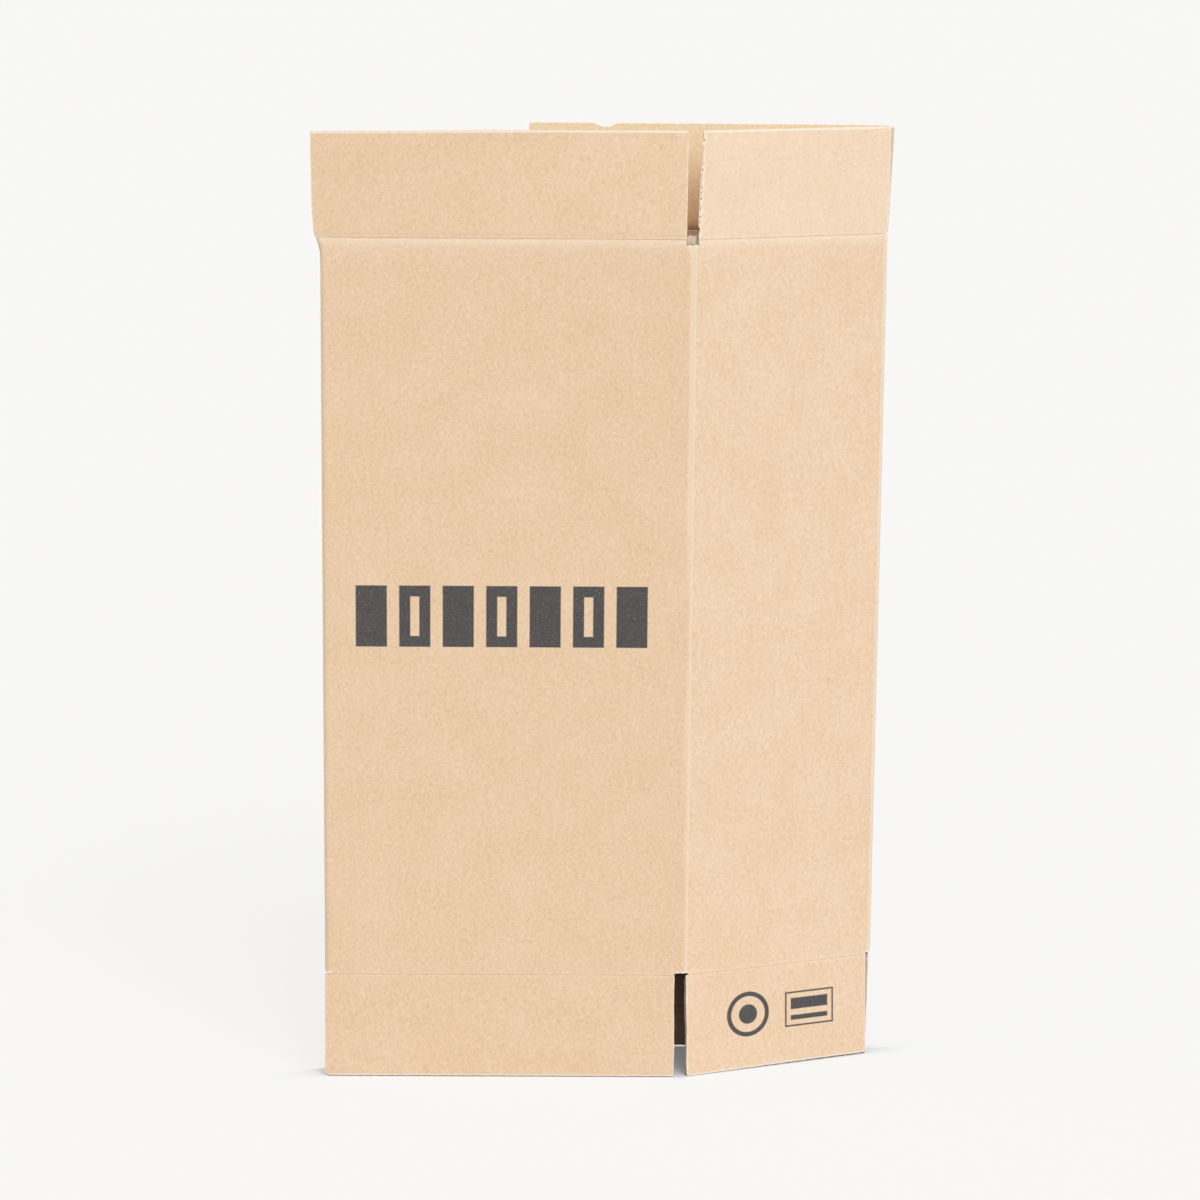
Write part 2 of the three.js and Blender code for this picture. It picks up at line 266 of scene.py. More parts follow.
def attribute(tree, name):
    """A value stored on the mesh's points, read by its name."""
    n = tree.nodes.new("ShaderNodeAttribute")
    n.attribute_name = name
    return n.outputs["Fac"]


print("mid grey on the screen is", round(rgb(128, 128, 128)[0], 3), "in linear light")

# %% [markdown]
# ## Printed shapes
# The print is plain dark grey ink. It is drawn as distances on the flat sheet: a bar is
# where the larger of two distances to its middle lines is below zero, and a disc is where
# the distance to its centre is. A row of upright blocks fills the front's printed band, and
# a ring with a dot and a framed pair of bars fill the places on the right lower flap.

# %% Ink shapes
EDGE = 0.00022


def inked(tree, distance):
    """1 inside a shape and 0 outside, from its signed distance in metres, with a soft edge."""
    return ramp(tree, distance, EDGE, -EDGE)


def bar(tree, u, v, centre, half_size):
    """Signed distance to a rectangle: the larger of |u - cu| - hu and |v - cv| - hv."""
    du = math_node(tree, "SUBTRACT", math_node(
        tree, "ABSOLUTE", math_node(tree, "SUBTRACT", u, centre[0] * MM)), half_size[0] * MM)
    dv = math_node(tree, "SUBTRACT", math_node(
        tree, "ABSOLUTE", math_node(tree, "SUBTRACT", v, centre[1] * MM)), half_size[1] * MM)
    return math_node(tree, "MAXIMUM", du, dv)


def disc(tree, u, v, centre, radius):
    """Signed distance to a disc: the distance to its centre less the radius."""
    du = math_node(tree, "SUBTRACT", u, centre[0] * MM)
    dv = math_node(tree, "SUBTRACT", v, centre[1] * MM)
    square = math_node(tree, "ADD", math_node(tree, "MULTIPLY", du, du),
                       math_node(tree, "MULTIPLY", dv, dv))
    return math_node(tree, "SUBTRACT", math_node(tree, "SQRT", square), radius * MM)


def without(tree, shape, hole):
    """Signed distance to a shape with another cut out of it."""
    return math_node(tree, "MAXIMUM", shape, math_node(tree, "MULTIPLY", hole, -1.0))


def union(tree, shapes):
    """Signed distance to several shapes together: the smallest of their distances."""
    total = shapes[0]
    for shape in shapes[1:]:
        total = math_node(tree, "MINIMUM", total, shape)
    return total


BAND_LOW, BAND_WIDE, BAND_MID, BAND_TALL = 14.0, 147.5, BASE + 188.7, 31.6
BLOCKS, BLOCK_GAP, STROKE = 7, 6.2, 5.6


def front_band(tree, u, v):
    """Seven upright blocks, every second one hollow, over the printed band of the front."""
    wide = (BAND_WIDE - (BLOCKS - 1) * BLOCK_GAP) / BLOCKS
    shapes = []
    for i in range(BLOCKS):
        centre = (BAND_LOW + wide / 2 + i * (wide + BLOCK_GAP), BAND_MID)
        block = bar(tree, u, v, centre, (wide / 2, BAND_TALL / 2))
        if i % 2:
            hole = bar(tree, u, v, centre, (wide / 2 - STROKE, BAND_TALL / 2 - STROKE))
            block = without(tree, block, hole)
        shapes.append(block)
    return union(tree, shapes)


RING_AT, RING_RADII = (LENGTH + 34.4, BASE - 24.6), (12.0, 9.6, 5.2)
FRAME_AT, FRAME_HALVES = (LENGTH + 69.6, BASE - 24.8), ((13.9, 9.4), (13.0, 8.5))
FRAME_BARS = ((2.9, (10.6, 3.0)), (-4.6, (10.6, 1.3)))


def foot_marks(tree, u, v):
    """A ring with a dot, and a frame with two bars, on the right lower flap."""
    discs = [disc(tree, u, v, RING_AT, radius) for radius in RING_RADII]
    frames = [bar(tree, u, v, FRAME_AT, half) for half in FRAME_HALVES]
    shapes = [without(tree, *discs[:2]), discs[2], without(tree, *frames)]
    for rise, half in FRAME_BARS:
        shapes.append(bar(tree, u, v, (FRAME_AT[0], FRAME_AT[1] + rise), half))
    return union(tree, shapes)


# %% Board material
LINER_TONES = rgb(226, 190, 149), rgb(242, 213, 184)
FIBRE_TONES = rgb(205, 166, 126), rgb(248, 226, 198)
# painted highlights mix towards the first tone, raw cut edges towards the second
HIGHLIGHT_TONE, CUT_TONE = rgb(250, 230, 204), rgb(250, 238, 220)
INK_TONES = rgb(78, 75, 74), rgb(95, 91, 88)
CLOUD_SCALE, MOTTLE_SCALE, GRAIN_SCALE, FIBRE_SCALE = 38.0, 520.0, 1700.0, 1300.0
CLOUD_SHARE, MOTTLE_SHARE, GRAIN_SHARE = 0.16, 0.50, 0.34
HIGHLIGHT_SHARE = 0.6
INNER_TINT = (0.95, 1.06, 1.03)
INNER_SHEET = 2000.0
REAR_INNER = INNER_SHEET + LENGTH + WIDTH + 6.5


def liner_colour(tree, place, mottle, grain):
    """Brown paper: three noises added, spread between two tones, with dark and pale fibres."""
    cloud = noise(tree, place, CLOUD_SCALE, 3.0, 0.5)
    tone = math_node(tree, "ADD", math_node(tree, "MULTIPLY", cloud, CLOUD_SHARE),
                     math_node(tree, "ADD", math_node(tree, "MULTIPLY", mottle, MOTTLE_SHARE),
                               math_node(tree, "MULTIPLY", grain, GRAIN_SHARE)))
    liner = mix_colour(tree, ramp(tree, tone, 0.36, 0.64), *LINER_TONES)
    stretch = tree.nodes.new("ShaderNodeMapping")
    stretch.inputs["Scale"].default_value = (1.0, 1.0, 0.22)
    tree.links.new(place, stretch.inputs["Vector"])
    fibre = noise(tree, stretch.outputs[0], FIBRE_SCALE, 1.0)
    dark = math_node(tree, "MULTIPLY", ramp(tree, fibre, 0.66, 0.74), 0.35)
    pale = math_node(tree, "MULTIPLY", ramp(tree, fibre, 0.33, 0.27), 0.3)
    liner = mix_colour(tree, dark, liner, FIBRE_TONES[0])
    return mix_colour(tree, pale, liner, FIBRE_TONES[1])


def inner_colour(tree, liner, u, v):
    """The paper inside the rear and the left upper flap is a little yellower."""
    yellower = tree.nodes.new("ShaderNodeVectorMath")
    yellower.operation = "MULTIPLY"
    yellower.inputs[1].default_value = INNER_TINT
    tree.links.new(liner, yellower.inputs[0])
    inside = ramp(tree, u, REAR_INNER * MM, (REAR_INNER + 10) * MM)
    above = ramp(tree, v, (TOP + 4) * MM, (TOP + 40) * MM)
    both = math_node(tree, "MULTIPLY", inside, above)
    return mix_colour(tree, both, liner, yellower.outputs[0])


def printed_colour(tree, paper, grain, u, v):
    """The printed shapes over the paper, with the ink thin where the grain stands high."""
    mark = inked(tree, union(tree, [front_band(tree, u, v), foot_marks(tree, u, v)]))
    ink = mix_colour(tree, ramp(tree, grain, 0.35, 0.7), *INK_TONES)
    thin = math_node(tree, "SUBTRACT", 1.0,
                     math_node(tree, "MULTIPLY", ramp(tree, grain, 0.66, 0.78), 0.45))
    return mix_colour(tree, math_node(tree, "MULTIPLY", mark, thin), paper, ink)


def sheet_place(tree):
    """Place on the flat sheet in metres: along the row of walls, and up."""
    sheet = tree.nodes.new("ShaderNodeUVMap")
    sheet.uv_map = "sheet"
    split = tree.nodes.new("ShaderNodeSeparateXYZ")
    tree.links.new(sheet.outputs[0], split.inputs[0])
    return split.outputs[0], split.outputs[1]


def board_material():
    """Brown liner with mottle, fibres, pale raw edges, printed shapes, painted light and shade.
    """
    m = bpy.data.materials.new("brown_board")
    m.use_nodes = True
    tree = m.node_tree
    shader = tree.nodes["Principled BSDF"]
    place = tree.nodes.new("ShaderNodeTexCoord").outputs["Object"]
    u, v = sheet_place(tree)
    mottle = noise(tree, place, MOTTLE_SCALE, 3.0, 0.7)
    grain = noise(tree, place, GRAIN_SCALE, 2.0, 0.6)
    colour = inner_colour(tree, liner_colour(tree, place, mottle, grain), u, v)
    # painted highlight: pale bands at creases and folds, and paler flaps
    worn = math_node(tree, "MULTIPLY", attribute(tree, "worn"), HIGHLIGHT_SHARE)
    colour = mix_colour(tree, worn, colour, HIGHLIGHT_TONE)
    colour = mix_colour(tree, attribute(tree, "cut"), colour, CUT_TONE)
    colour = printed_colour(tree, colour, grain, u, v)
    # painted light and shade: the colour is scaled by the stored shade
    painted_light_colour = tree.nodes.new("ShaderNodeVectorMath")
    painted_light_colour.operation = "SCALE"
    tree.links.new(colour, painted_light_colour.inputs[0])
    tree.links.new(attribute(tree, "shade"), painted_light_colour.inputs["Scale"])
    tree.links.new(painted_light_colour.outputs[0], shader.inputs["Base Color"])
    shader.inputs["Roughness"].default_value = 0.88
    shader.inputs["Specular IOR Level"].default_value = 0.22
    relief = tree.nodes.new("ShaderNodeBump")
    relief.inputs["Strength"].default_value = 0.35
    relief.inputs["Distance"].default_value = 0.00012
    tree.links.new(math_node(tree, "ADD", mottle, grain), relief.inputs["Height"])
    tree.links.new(relief.outputs[0], shader.inputs["Normal"])
    return m


BOARD_MATERIAL = board_material()
print("board material nodes:", len(BOARD_MATERIAL.node_tree.nodes))

# %% [markdown]
# ## The tube
# The tube is one folded sheet, so it is drawn as one: a path runs along the glue tab, round
# the glued corner, along the four walls and ends at the left wall's raw edge. At each step
# of the path stands a thin upright section of the board. The flutes show through the liners
# as a faint washboard, and the board is crushed from the inside at the top and bottom
# creases.

# %% Path of the tube
FOLD_INNER = 0.05
STEP = 0.9
TAB_WIDTH = 34.0
WASH = {"front": 0.03, "right": 0.11, "rear": 0.06, "left": 0.1, "tab": 0.0, "fold": 0.0}
# painted light and shade: the right wall lighter, the front and glued fold darker
WALL_PAINTED_LIGHT = {"front": 0.985, "right": 1.03, "fold_glued": 0.97}
CREASE_GROOVE = {"front": 0.2, "right": 0.1, "rear": 0.2, "left": 0.2}


def straight(start, angle, u0, u1, offset, name):
    """Stations every STEP mm of a straight wall: place, outward direction, sheet distance."""
    u = np.linspace(u0, u1, max(3, int(abs(u1 - u0) / STEP)))
    along = np.array([math.cos(angle), math.sin(angle)])
    out = np.array([math.sin(angle), -math.cos(angle)])
    return {"base": start + u[:, None] * along, "out": np.repeat(out[None], len(u), 0),
            "u": u, "sheet": offset + u, "name": name}


def rounded(corner, angle_in, angle_out, offset, name):
    """Stations round a fold: the outward direction turns about a point just inside it."""
    turn = angle_out - angle_in
    count = max(5, int(turn / math.radians(9)))
    t = np.linspace(0, 1, count + 2)[1:-1]
    middle = (angle_in + angle_out) / 2
    back = FOLD_INNER / math.cos(turn / 2)
    centre = corner - back * np.array([math.sin(middle), -math.cos(middle)])
    angle = angle_in + turn * t
    out = np.stack([np.sin(angle), -np.cos(angle)], axis=1)
    return {"base": centre + FOLD_INNER * out, "out": out, "u": t,
            "sheet": np.full(len(t), offset) + 0.001 * t, "name": name}


def tangent(turn):
    """How far before its corner a fold begins: the inner radius times tan of half the turn."""
    return FOLD_INNER * math.tan(turn / 2)


NO_SLOT = -99.0
SLOTS = {
    "front": {"top": (NO_SLOT, 4.2), "foot": (0.6, 5.5)},
    "right": {"top": (1.0, -1.6), "foot": (0.6, 1.0)},
    "rear": {"top": (0.6, 4.2), "foot": (0.6, 5.5)},
    "left": {"top": (1.0, 1.6), "foot": (0.6, 1.6)},
}


RAW_END, CLOSE, PAIR = 0.6, 0.2, 0.03


def wall_path(name, turn_in, turn_out):
    """A wall's stations, with close pairs where a slot's side cuts the rim."""
    start, angle, length, offset = PANELS[name]
    first = tangent(turn_in)
    last = length - (tangent(turn_out) if turn_out else RAW_END)
    breaks = [first, last]
    for sides in SLOTS[name].values():
        for at in (sides[0], length - sides[1]):
            if first + CLOSE < at < last - CLOSE:
                breaks += [at - PAIR, at + PAIR]
    breaks.sort()
    parts = [straight(start, angle, a, b, offset, name) for a, b in zip(breaks, breaks[1:])]
    merged = {"name": name}
    for key in ("base", "out", "u", "sheet"):
        merged[key] = np.concatenate([parts[0][key]] + [p[key][1:] for p in parts[1:]])
    return merged


def tube_path():
    """The whole path: tab, glued fold, front, right, rear and left walls with their folds."""
    glued = math.pi - SKEW
    wide = math.pi - OPEN
    tab = straight(CORNERS["front_left"], math.pi + SKEW, -TAB_WIDTH, -tangent(glued), 0.0, "tab")
    return [
        tab,
        rounded(CORNERS["front_left"], math.pi + SKEW, 2 * math.pi, 0.0, "fold_glued"),
        wall_path("front", glued, OPEN),
        rounded(CORNERS["front_right"], 0.0, OPEN, LENGTH, "fold_wide"),
        wall_path("right", OPEN, wide),
        rounded(CORNERS["rear_right"], OPEN, math.pi, LENGTH + WIDTH, "fold_tight"),
        wall_path("rear", wide, SKEW),
        rounded(CORNERS["rear_left"], math.pi, math.pi + SKEW, 2 * LENGTH + WIDTH, "fold_wide"),
        wall_path("left", SKEW, 0.0),
    ]


path = tube_path()
print("stations along the tube:", sum(len(p["u"]) for p in path))

# %% [markdown]
# ## The rims
# The rim of the tube is level at the creases, and dips where the slots between the flaps run
# a little past them. Those ends are torn rather than cut, so they wander. Each wall also
# bows by a few tenths of a millimetre, as board does.

# %% Rims
RIM_ROOM = 0.05
RIM_BULGE = 0.015
FOLD_TOP_DIP, FOLD_FOOT_DIP = 3.0, 1.0
TORN, TORN_WAVE = 0.45, 4.0
TAB_SHORT, TAB_TAPER, TAB_THINNER = 4.0, 10.0, 0.12
CRUSH_DEPTH, CRUSH_WIDTH = 1.5, 2.2
FOOT_GROOVE, SCORE_DOWN = 0.12, 6.6
NEAR = np.array([0.0, 0.35, 0.8, 1.3, 1.9, 2.6, 3.5, 4.8, 6.5, 9.0, 13.0, 20.0])
MIDDLE = np.linspace(0, 1, 16)[1:-1]
ROUND = np.linspace(0, math.pi, 5)[1:-1]


def rims(part):
    """Lowest and highest z of each station, in mm, and how torn its upper and lower end is."""
    name, u = part["name"], part["u"]
    torn = TORN * wander(part["base"][:, 0] + part["base"][:, 1], TORN_WAVE, 3)
    high = np.full(len(u), TOP - RIM_ROOM)
    low = np.full(len(u), BASE + RIM_ROOM)
    if name == "tab":
        short = TAB_SHORT - TAB_TAPER * u / TAB_WIDTH
        return low + short, high - short, np.ones(len(u))
    if name.startswith("fold"):
        raw = np.ones(len(u))
        high = high - FOLD_TOP_DIP + torn
        low = low + FOLD_FOOT_DIP + 0.4 * torn
        if name == "fold_tight":
            high = np.where(u < 0.5, TOP - RIM_ROOM, high)
        if name == "fold_glued":
            inside = u < 0.5
            high = np.where(inside, TOP - TAB_SHORT, TOP - RIM_ROOM)
            low = np.where(inside, BASE + TAB_SHORT, BASE + 0.8)
        return low, high, raw
    length = PANELS[name][2]
    before, after = SLOTS[name]["top"]
    in_slot = (u < before) | (u > length - after)
    high = np.where(in_slot, high - FOLD_TOP_DIP + torn, high)
    before, after = SLOTS[name]["foot"]
    at_foot = (u < before) | (u > length - after)
    low = np.where(at_foot, low + FOLD_FOOT_DIP + 0.4 * torn, low)
    return low, high, in_slot.astype(float)


def faces_of_board(part, z):
    """Distance of the outer and the inner liner from the inner face line, in mm.

    The outer one is BOARD less a shallow groove at each crease, less a faint score line
    below the upper one, and less the washboard, A(1 - cos(2 pi s / PITCH)). The inner one
    is a deeper groove where the board is crushed.
    """
    name = part["name"]
    s = part["sheet"][None, :]
    wash = WASH["fold" if name.startswith("fold") else name]
    calm = np.clip(1 - bump(z, TOP, 7.0) - bump(z, BASE, 7.0), 0, 1)
    thick = BOARD - TAB_THINNER if name == "tab" else BOARD
    outer = thick - (1 - np.cos(2 * math.pi * s / PITCH)) * wash * calm
    outer = outer - CREASE_GROOVE.get(name, 0.2) * bump(z, TOP - 0.3, 1.5)
    outer = outer - FOOT_GROOVE * bump(z, BASE + 0.3, 1.3)
    outer = outer - FOOT_GROOVE * bump(z, TOP - SCORE_DOWN, 0.8)
    if name == "tab" or name.startswith("fold"):
        return outer, np.zeros_like(outer)
    crushed = CRUSH_DEPTH * (bump(z, TOP, CRUSH_WIDTH) + bump(z, BASE, CRUSH_WIDTH))
    return outer, (1 + np.cos(2 * math.pi * s / PITCH)) * wash * calm + crushed


def bow_of(part, z):
    """A slow in-and-out of a wall, zero at its folds: a half sine along it times waves up it."""
    name = part["name"]
    if name not in PANELS:
        return np.zeros_like(z)
    length = PANELS[name][2]
    along = np.sin(math.pi * np.clip(part["u"] / length, 0, 1))[None]
    up = np.sin(math.pi * np.clip((z - BASE) / HEIGHT, 0, 1))
    seed = {"front": 0.4, "right": 1.9, "rear": 3.1, "left": 4.4}[name]
    size = {"front": -0.35, "right": -0.45, "rear": -0.3, "left": -0.3}[name]
    return size * along * up * (1 + 0.35 * np.sin(z / 61.0 + seed))


print("a rim ends", RIM_ROOM, "mm short of its crease")

# %% [markdown]
# ## Sections of the tube
# At each station a closed loop of points runs up the outer face, over the rim, down the
# inner face and under the foot, and says how cut the board is there and how much painted
# highlight and painted shade it carries. A torn scrap of paper in the front right slot is one
# more such loop.

# %% Sections of the tube
GLUED_GAPE, GAPE_DOWN = 2.4, 9.0
# painted shade: inside of the tube, the rear wall's crease rim, the torn slot top
INNER_SHADE, REAR_RIM_SHADE, SLOT_SHADE = 0.82, 0.6, 0.45
# painted highlights on the rounded folds, less on the glued one, and by the right fold
FOLD_HIGHLIGHT, GLUED_FOLD_HIGHLIGHT, FOLD_EDGE_HIGHLIGHT = 0.75, 0.15, 0.75


def section_places(part, up, low, high):
    """Points round the board: up the outer face, over the rim, down the inner one, under."""
    outer, inner = faces_of_board(part, up)
    bow = bow_of(part, up)

    def spot(distance, z, extra):
        xy = part["base"][None] + (distance + extra)[..., None] * part["out"][None] + SHIFT
        return np.concatenate([xy, z[..., None]], axis=-1)

    def cap(row, edge, side):
        middle, half = (outer[row] + inner[row]) / 2, (outer[row] - inner[row]) / 2
        turn = ROUND[:, None]
        return spot(middle + side * half * np.cos(turn),
                    edge[None] + side * RIM_BULGE * np.sin(turn),
                    np.repeat(bow[row][None], len(ROUND), 0))

    face_out, face_in = spot(outer, up, bow), spot(inner, up, bow)
    rim, foot = cap(-1, high, 1), cap(0, low, -1)
    if part["name"] == "fold_glued":
        gape = GLUED_GAPE * np.clip(1 - (TOP - up) / GAPE_DOWN, 0, 1) ** 1.5
        gape = gape * (part["u"][None] > 0.3)
        face_out[..., 0] -= gape
        face_in[..., 0] -= 0.6 * gape
        rim[..., 0] -= 0.8 * gape[-1:]
    return np.concatenate([face_out, rim, face_in[::-1], foot])


def worn_outside(part, up):
    """Painted highlight of the outer face: both creases, the folds and beside the right one."""
    worn = 0.5 * bump(up, TOP - 1.1, 1.0) + 0.3 * bump(up, BASE + 1.0, 1.0)
    worn = worn + 0.35 * bump(up, TOP - 3.2, 2.6)
    if part["name"].startswith("fold"):
        worn = worn + (GLUED_FOLD_HIGHLIGHT if part["name"] == "fold_glued" else FOLD_HIGHLIGHT)
    if part["name"] == "front":
        # painted highlight: the last mm before the right fold are paler, wider towards the top
        wide = 1.2 + 1.9 * np.clip((up - BASE) / HEIGHT, 0, 1) ** 1.5
        wide = wide + 0.35 * wander(up, 60.0, 21)
        worn = worn + FOLD_EDGE_HIGHLIGHT * np.clip((part["u"][None] - LENGTH + wide) / 0.7, 0, 1)
    return worn


def tube_section(part):
    """The closed loop of points round the board at every station of one part of the path."""
    low, high, raw = rims(part)
    name = part["name"]
    up = np.concatenate([NEAR[:, None] + low[None],
                         low[None] + 20 + MIDDLE[:, None] * (high - low - 40)[None],
                         high[None] - NEAR[::-1, None]])
    tall = len(up)
    place = section_places(part, up, low, high)
    sheet_s = np.repeat(part["sheet"][None], len(place), 0)
    sheet_s[tall:] += INNER_SHEET
    worn, cut = np.zeros(place.shape[:2]), np.zeros(place.shape[:2])
    worn[:tall] = worn_outside(part, up)
    shade = np.full(place.shape[:2], WALL_PAINTED_LIGHT.get(name, 1.0))
    # painted shade on the inner face of the tube
    shade[tall:] *= INNER_SHADE
    rim = slice(tall, tall + len(ROUND))
    cut[rim] = 0.35 + 0.65 * raw[None]
    # painted shade: the rear wall's rim at its crease is dark
    if name == "rear":
        cut[rim] = 0.0
        shade[rim] = REAR_RIM_SHADE
    cut[tall - 2:tall] = raw[None]
    cut[-len(ROUND):] = 0.3
    foot_torn = (low > BASE + 0.5).astype(float)
    cut[0:3] = foot_torn * np.array([0.9, 0.7, 0.35])[:, None]
    if name in ("front", "fold_wide", "right"):
        # painted shade: the torn top of the open slot is dark inside its pale outer edge
        shade[tall + 1:tall + 6] = np.where(raw[None] > 0, SLOT_SHADE, 1.0)
    return {"place": place, "sheet": np.stack([sheet_s, place[..., 2]], -1), "cut": cut,
            "worn": np.clip(worn, 0, 1), "shade": shade}


# %% Torn scrap
SCRAP_OUT, SCRAP_HALF, SCRAP_RISE, SCRAP_ROOT, SCRAP_WIDE = 0.75, 0.18, 1.7, 6.0, 5.0
SCRAP_ROWS, SCRAP_COLUMNS = 8, 40


def torn_scrap():
    """A scrap of inner paper left standing in the torn slot at the front right fold.

    It follows the fold 0.75 mm out from the inner corner, and its upper edge is ragged.
    """
    front = straight(CORNERS["front_left"], 0.0, LENGTH - 3.9, LENGTH - 0.1, 0.0, "scrap")
    right = straight(CORNERS["front_right"], OPEN, 0.1, 0.7, 0.0, "scrap")
    base = np.concatenate([front["base"], right["base"]])
    out = np.concatenate([front["out"], right["out"]])
    fine = np.linspace(0, len(base) - 1, SCRAP_COLUMNS)
    base = np.stack([np.interp(fine, range(len(base)), base[:, i]) for i in (0, 1)], axis=1)
    out = np.stack([np.interp(fine, range(len(out)), out[:, i]) for i in (0, 1)], axis=1)
    run = fine / fine[-1] * SCRAP_WIDE
    rise = np.linspace(0, 1, SCRAP_ROWS)[:, None]
    high = TOP + SCRAP_RISE + 0.5 * wander(run, 2.6, 11)
    up = rise * (high - TOP + SCRAP_ROOT)[None] + TOP - SCRAP_ROOT
    crumple = SCRAP_OUT + 0.3 * wander(run, 3.1, 17)[None] * rise
    loop = []
    for distance in (crumple + SCRAP_HALF, crumple - SCRAP_HALF):
        xy = base[None] + distance[..., None] * out[None] + SHIFT
        loop.append(np.concatenate([xy, up[..., None]], axis=-1))
    place = np.concatenate([loop[0], loop[1][::-1]])
    sheet = np.stack([place[..., 0] + 2 * INNER_SHEET, place[..., 2]], -1)
    cut = np.full(place.shape[:2], 0.5)
    cut[SCRAP_ROWS - 1:SCRAP_ROWS + 1] = 1.0
    # painted shade: the scrap is darker all over and darkest at its foot in the slot
    shade = np.full(place.shape[:2], 0.82)
    shade[:5] = np.array([0.4, 0.4, 0.45, 0.6, 0.75])[:, None]
    return {"place": place, "sheet": sheet, "cut": cut, "worn": np.zeros(place.shape[:2]),
            "shade": shade}


# %% Sleeve
sections = [tube_section(part) for part in path]
whole = {key: np.concatenate([s[key] for s in sections], axis=1) for key in sections[0]}
make_piece("board_sleeve", [whole, torn_scrap()], "tube", "sleeve")

# %% [markdown]
# ## Flaps with real flutes
# A flap's free edge shows the board's own section: two liners with a wave of paper between
# them. Each flap is three closed sheets on grids of the same outline. The wave runs between
# the liners as a cosine of the distance along the edge. Near the crease the three are
# pressed together, and along the slots the board is pinched. A cut or torn side wanders.

# %% Outline of a flap
ROW_LIST = np.array([0.05, 0.5, 1.0, 1.6, 2.3, 3.2, 4.5, 6.5, 9.0, 13, 18, 23, 28, 33, 38, 43,
                     47, 50, 52, 53, 53.6, 54.0])
FINE_ROWS = np.concatenate([ROW_LIST[:7], np.arange(5.3, 53.0, 0.8), ROW_LIST[-3:]])
WAVE_ROWS = [0, 3, 6, 8, 12, 16, 19, 21]
LINER_STEP, WAVE_STEP = 0.85, 0.45
SIDE_WAVE, SIDE_START = 5.0, 6.0
EDGE_SINK, EDGE_WAVE = 0.07, 14.0


def steps(length, pitch):
    """Shares from 0 to 1, about pitch mm apart, with closer ones 0.3 and 0.7 mm from the ends."""
    near = np.array([0.0, 0.3, 0.7]) / length
    count = max(8, int(length / pitch))
    between = np.linspace(1.3 / length, 1 - 1.3 / length, count)
    return np.concatenate([near, between, 1 - near[::-1]])


def flap_grid(spec, columns, rows_mm, layer, short=0.0):
    """Places of a flap's grid on its own flat sheet: u along the crease and h away from it.

    Rows run from the crease to the free edge; each row is stretched between the flap's two
    side lines, and each column up to the free edge with its small waves and dent. The outer
    sheet may stop a little before the others, as if crushed.
    """
    edge, seed = spec["edge"], spec["seed"]
    end = spec["end"] - short
    share = steps(end - spec["start"], columns)
    h = rows_mm[:, None] / rows_mm[-1]
    side_h = h[:, 0] * edge
    grown = np.clip(side_h / SIDE_START, 0, 1)
    left = spec["start"] + spec["left_line"](side_h)
    left = left + spec["torn_left"] * wander(side_h, SIDE_WAVE, seed) * grown
    right = end + spec["right_line"](side_h)
    right = right + spec["torn_right"] * wander(side_h, SIDE_WAVE, seed + 5) * grown
    u = left[:, None] + (right - left)[:, None] * share[None]
    free = edge - EDGE_SINK * (1.8 + wander(u[-1], EDGE_WAVE, seed + 9)) - spec["dent"](u[-1])
    if layer == "outer":
        free = free - spec["raised"](u[-1])
    return u, h * free[None]


print("rows of a plain and of a torn flap:", len(ROW_LIST), len(FINE_ROWS))

# %% Faces of a flap
PINCH, PINCH_WIDTH, PINCH_OUTER = 0.35, 1.2, 0.6
RAGGED_FROM, RAGGED, RAGGED_WIDTH = 0.3, 8.0, 0.8
LEAST_GAP = 0.3


def board_faces(u, h, spec):
    """Outer and inner face distances of a flap: crushed at the crease, pinched at the sides.

    The pinch falls off as e to the minus distance from the side over its width.
    """
    wash = spec["wash"] * np.clip(1 - bump(h, 0, 6.0), 0, 1)
    outer = BOARD - wash * (1 - np.cos(2 * math.pi * u / PITCH))
    outer = outer - spec["groove"] * bump(h, 0.3, 1.5)
    inner = wash * (1 + np.cos(2 * math.pi * u / PITCH)) + CRUSH_DEPTH * bump(h, 0, CRUSH_WIDTH)
    from_left = u - u[:, :1]
    pinch = PINCH * np.exp(-np.minimum(from_left, u[:, -1:] - u) / PINCH_WIDTH)
    ragged = RAGGED * max(spec["torn_left"] - RAGGED_FROM, 0) * np.exp(-from_left / RAGGED_WIDTH)
    outer = outer - PINCH_OUTER * pinch
    return outer, np.minimum(inner + pinch + ragged, outer - 2 * LINER - LEAST_GAP)


def settle(u, h, distance, spec):
    """From the flap's own flat sheet to the row frame, leaning outward about the outer liner.

    A point at rise h and distance n from the inner face goes to rise h cos a - (n - B) sin a
    and distance B + (n - B) cos a + h sin a, for a lean a and a board B thick.
    """
    start, angle, length, _ = PANELS[spec["panel"]]
    lean = np.radians(spec["lean"] + spec["twist"] * (u / length - 0.5))
    n = distance - BOARD
    out = BOARD + n * np.cos(lean) + h * np.sin(lean)
    rise = h * np.cos(lean) - n * np.sin(lean)
    along = np.array([math.cos(angle), math.sin(angle)])
    away = np.array([math.sin(angle), -math.cos(angle)])
    xy = start + u[..., None] * along + out[..., None] * away + SHIFT
    z = TOP + rise if spec["top"] else BASE - rise
    return np.concatenate([xy, z[..., None]], axis=-1)


# %% Looks of a flap
FREE_CUT, SIDE_CUT, WAVE_CUT = 1.0, 0.9, 0.25
FRAY_WAVE = 7.0
CREASE_DIM, END_DIM_WIDTH = 0.4, 5.0
FOOT_INNER_SHADE, FOOT_EDGE_SHADE = 0.8, 0.3


